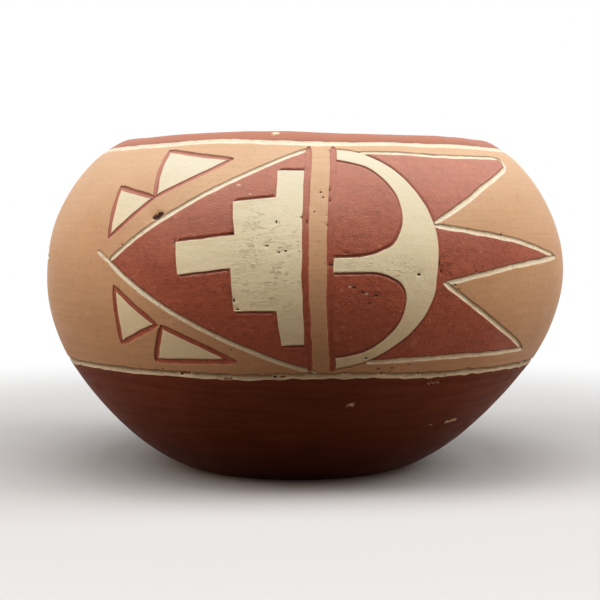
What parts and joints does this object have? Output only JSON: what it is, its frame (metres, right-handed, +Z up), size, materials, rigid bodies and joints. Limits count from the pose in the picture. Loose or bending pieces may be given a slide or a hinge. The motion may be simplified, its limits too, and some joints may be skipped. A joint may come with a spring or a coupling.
{
  "type": "pottery bowl",
  "caption": "Round coil-built pottery bowl with a wide mouth, a rounded lip, a small flat foot and a carved, slip-painted band of stepped and crescent figures round its belly.",
  "frame": {"origin": "middle of the flat foot, on the surface that the bowl stands on", "axes": "+Z up through the middle of the mouth, -Y towards the front panel, +X to the right of it"},
  "size_m": [0.19, 0.19, 0.12],
  "materials": {
    "red_slip": "burnished red-brown slip, satin",
    "bare_clay": "bare fired clay, matte",
    "tan_slip": "smoothed tan slip, matte",
    "red_fill": "brushed red slip, matte",
    "cream_fill": "cream slip, matte and slightly rough",
    "white_line": "white slip rubbed into an incised line, matte",
    "red_line": "red slip in an incised line, matte"
  },
  "bodies": {
    "root": {"moulded_base": "red_slip", "lower_coil": "red_slip", "belly_coil": "bare_clay", "upper_belly_coil": "bare_clay", "shoulder_coil": "bare_clay", "neck_coil": "bare_clay", "rim_coil": "red_slip", "waist_white_line": "white_line", "collar_white_line": "white_line", "tan_slip_coat": "tan_slip", "front_bar_left_line": "red_line", "front_bar_right_line": "red_line", "front_triangle_line": "white_line", "front_stepped_cloud": "cream_fill", "front_triangle_field": "red_fill", "front_upper_sun_field": "red_fill", "front_lower_sun_field": "red_fill", "front_crescent": "cream_fill", "front_feather_line": "white_line", "front_feather_field": "red_fill", "front_upper_inner_wedge": "cream_fill", "front_upper_outer_wedge": "cream_fill", "front_upper_wedge_line": "red_line", "front_lower_inner_wedge": "cream_fill", "front_lower_outer_wedge": "cream_fill", "front_lower_wedge_line": "red_line", "left_bar_left_line": "red_line", "left_bar_right_line": "red_line", "left_triangle_line": "white_line", "left_stepped_cloud": "cream_fill", "left_triangle_field": "red_fill", "left_upper_sun_field": "red_fill", "left_lower_sun_field": "red_fill", "left_crescent": "cream_fill", "left_feather_line": "white_line", "left_feather_field": "red_fill", "left_upper_inner_wedge": "cream_fill", "left_upper_outer_wedge": "cream_fill", "left_upper_wedge_line": "red_line", "left_lower_inner_wedge": "cream_fill", "left_lower_outer_wedge": "cream_fill", "left_lower_wedge_line": "red_line", "right_bar_left_line": "red_line", "right_bar_right_line": "red_line", "right_triangle_line": "white_line", "right_stepped_cloud": "cream_fill", "right_triangle_field": "red_fill", "right_upper_sun_field": "red_fill", "right_lower_sun_field": "red_fill", "right_crescent": "cream_fill", "right_feather_line": "white_line", "right_feather_field": "red_fill", "right_upper_inner_wedge": "cream_fill", "right_upper_outer_wedge": "cream_fill", "right_upper_wedge_line": "red_line", "right_lower_inner_wedge": "cream_fill", "right_lower_outer_wedge": "cream_fill", "right_lower_wedge_line": "red_line"}
  },
  "joints": []
}
